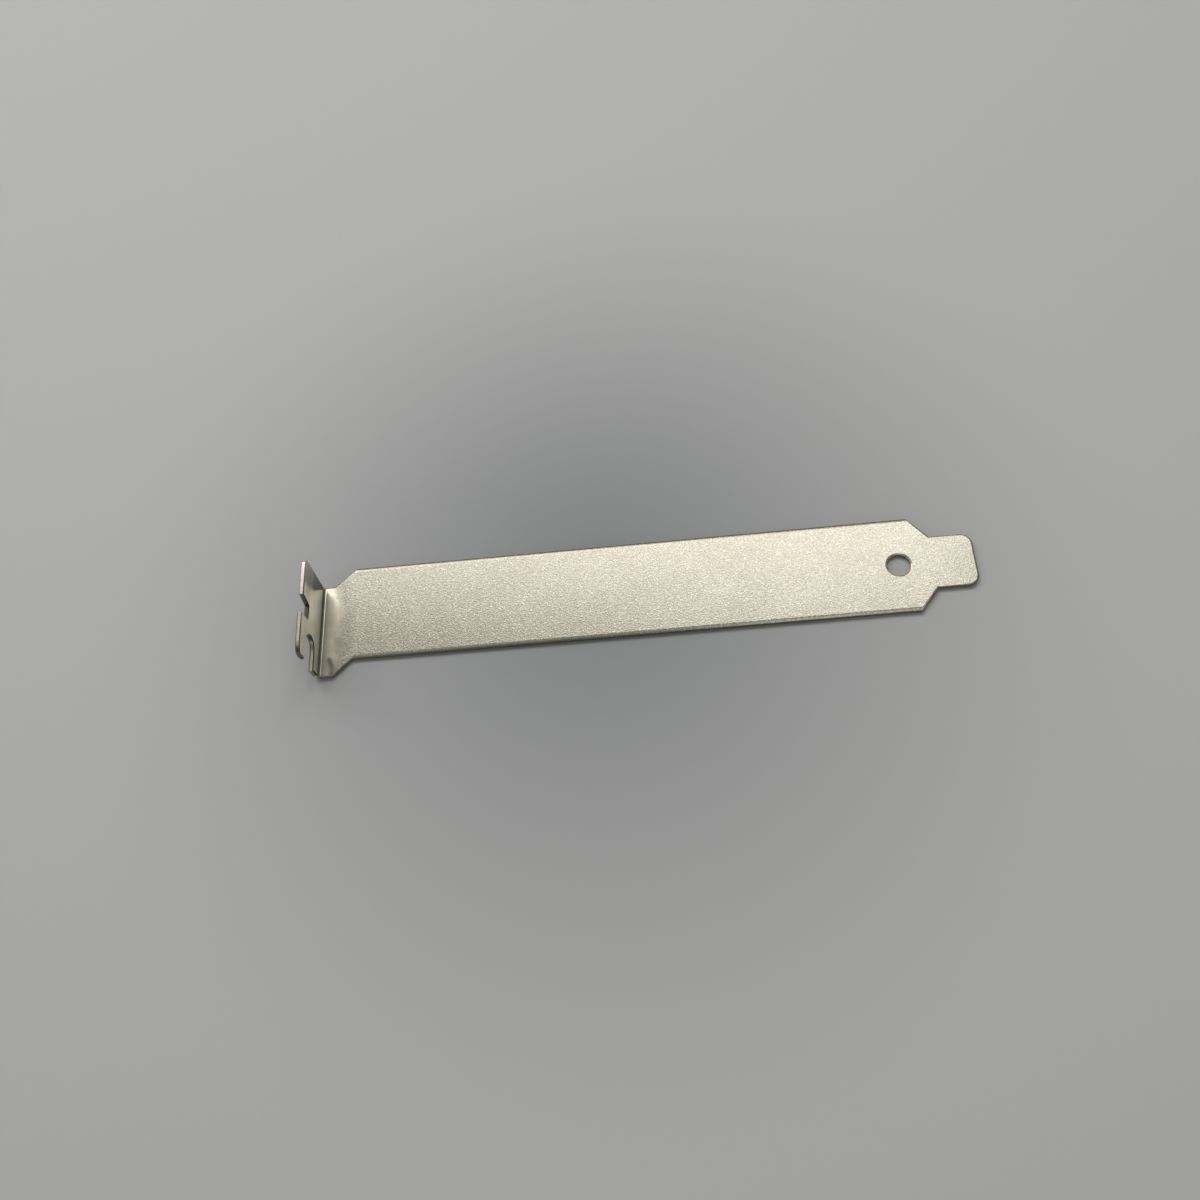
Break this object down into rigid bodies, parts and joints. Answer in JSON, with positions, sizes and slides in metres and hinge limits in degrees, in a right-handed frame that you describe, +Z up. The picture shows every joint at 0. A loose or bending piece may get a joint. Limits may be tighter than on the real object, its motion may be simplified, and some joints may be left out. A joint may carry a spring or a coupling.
{
  "type": "expansion slot cover bracket",
  "caption": "Folded sheet-steel blanking strip for a computer case slot: long plate with a stepped tongue and a round hole, and an upright screw flange with an open slot and a notch.",
  "frame": {"origin": "centre of the bounding box's underside, in the plane of the plate's underside, which lies down", "axes": "+X along the plate, from the flange to the tongue; +Y across the plate, away from the open side of the screw slot; +Z up, from the plate's underside to the flange's free edge"},
  "size_m": [0.12, 0.0216, 0.0114],
  "materials": {
    "plated_steel": "satin nickel plating on cold-rolled steel, fine grain"
  },
  "bodies": {
    "root": {"slot_cover": "plated_steel"}
  },
  "joints": []
}
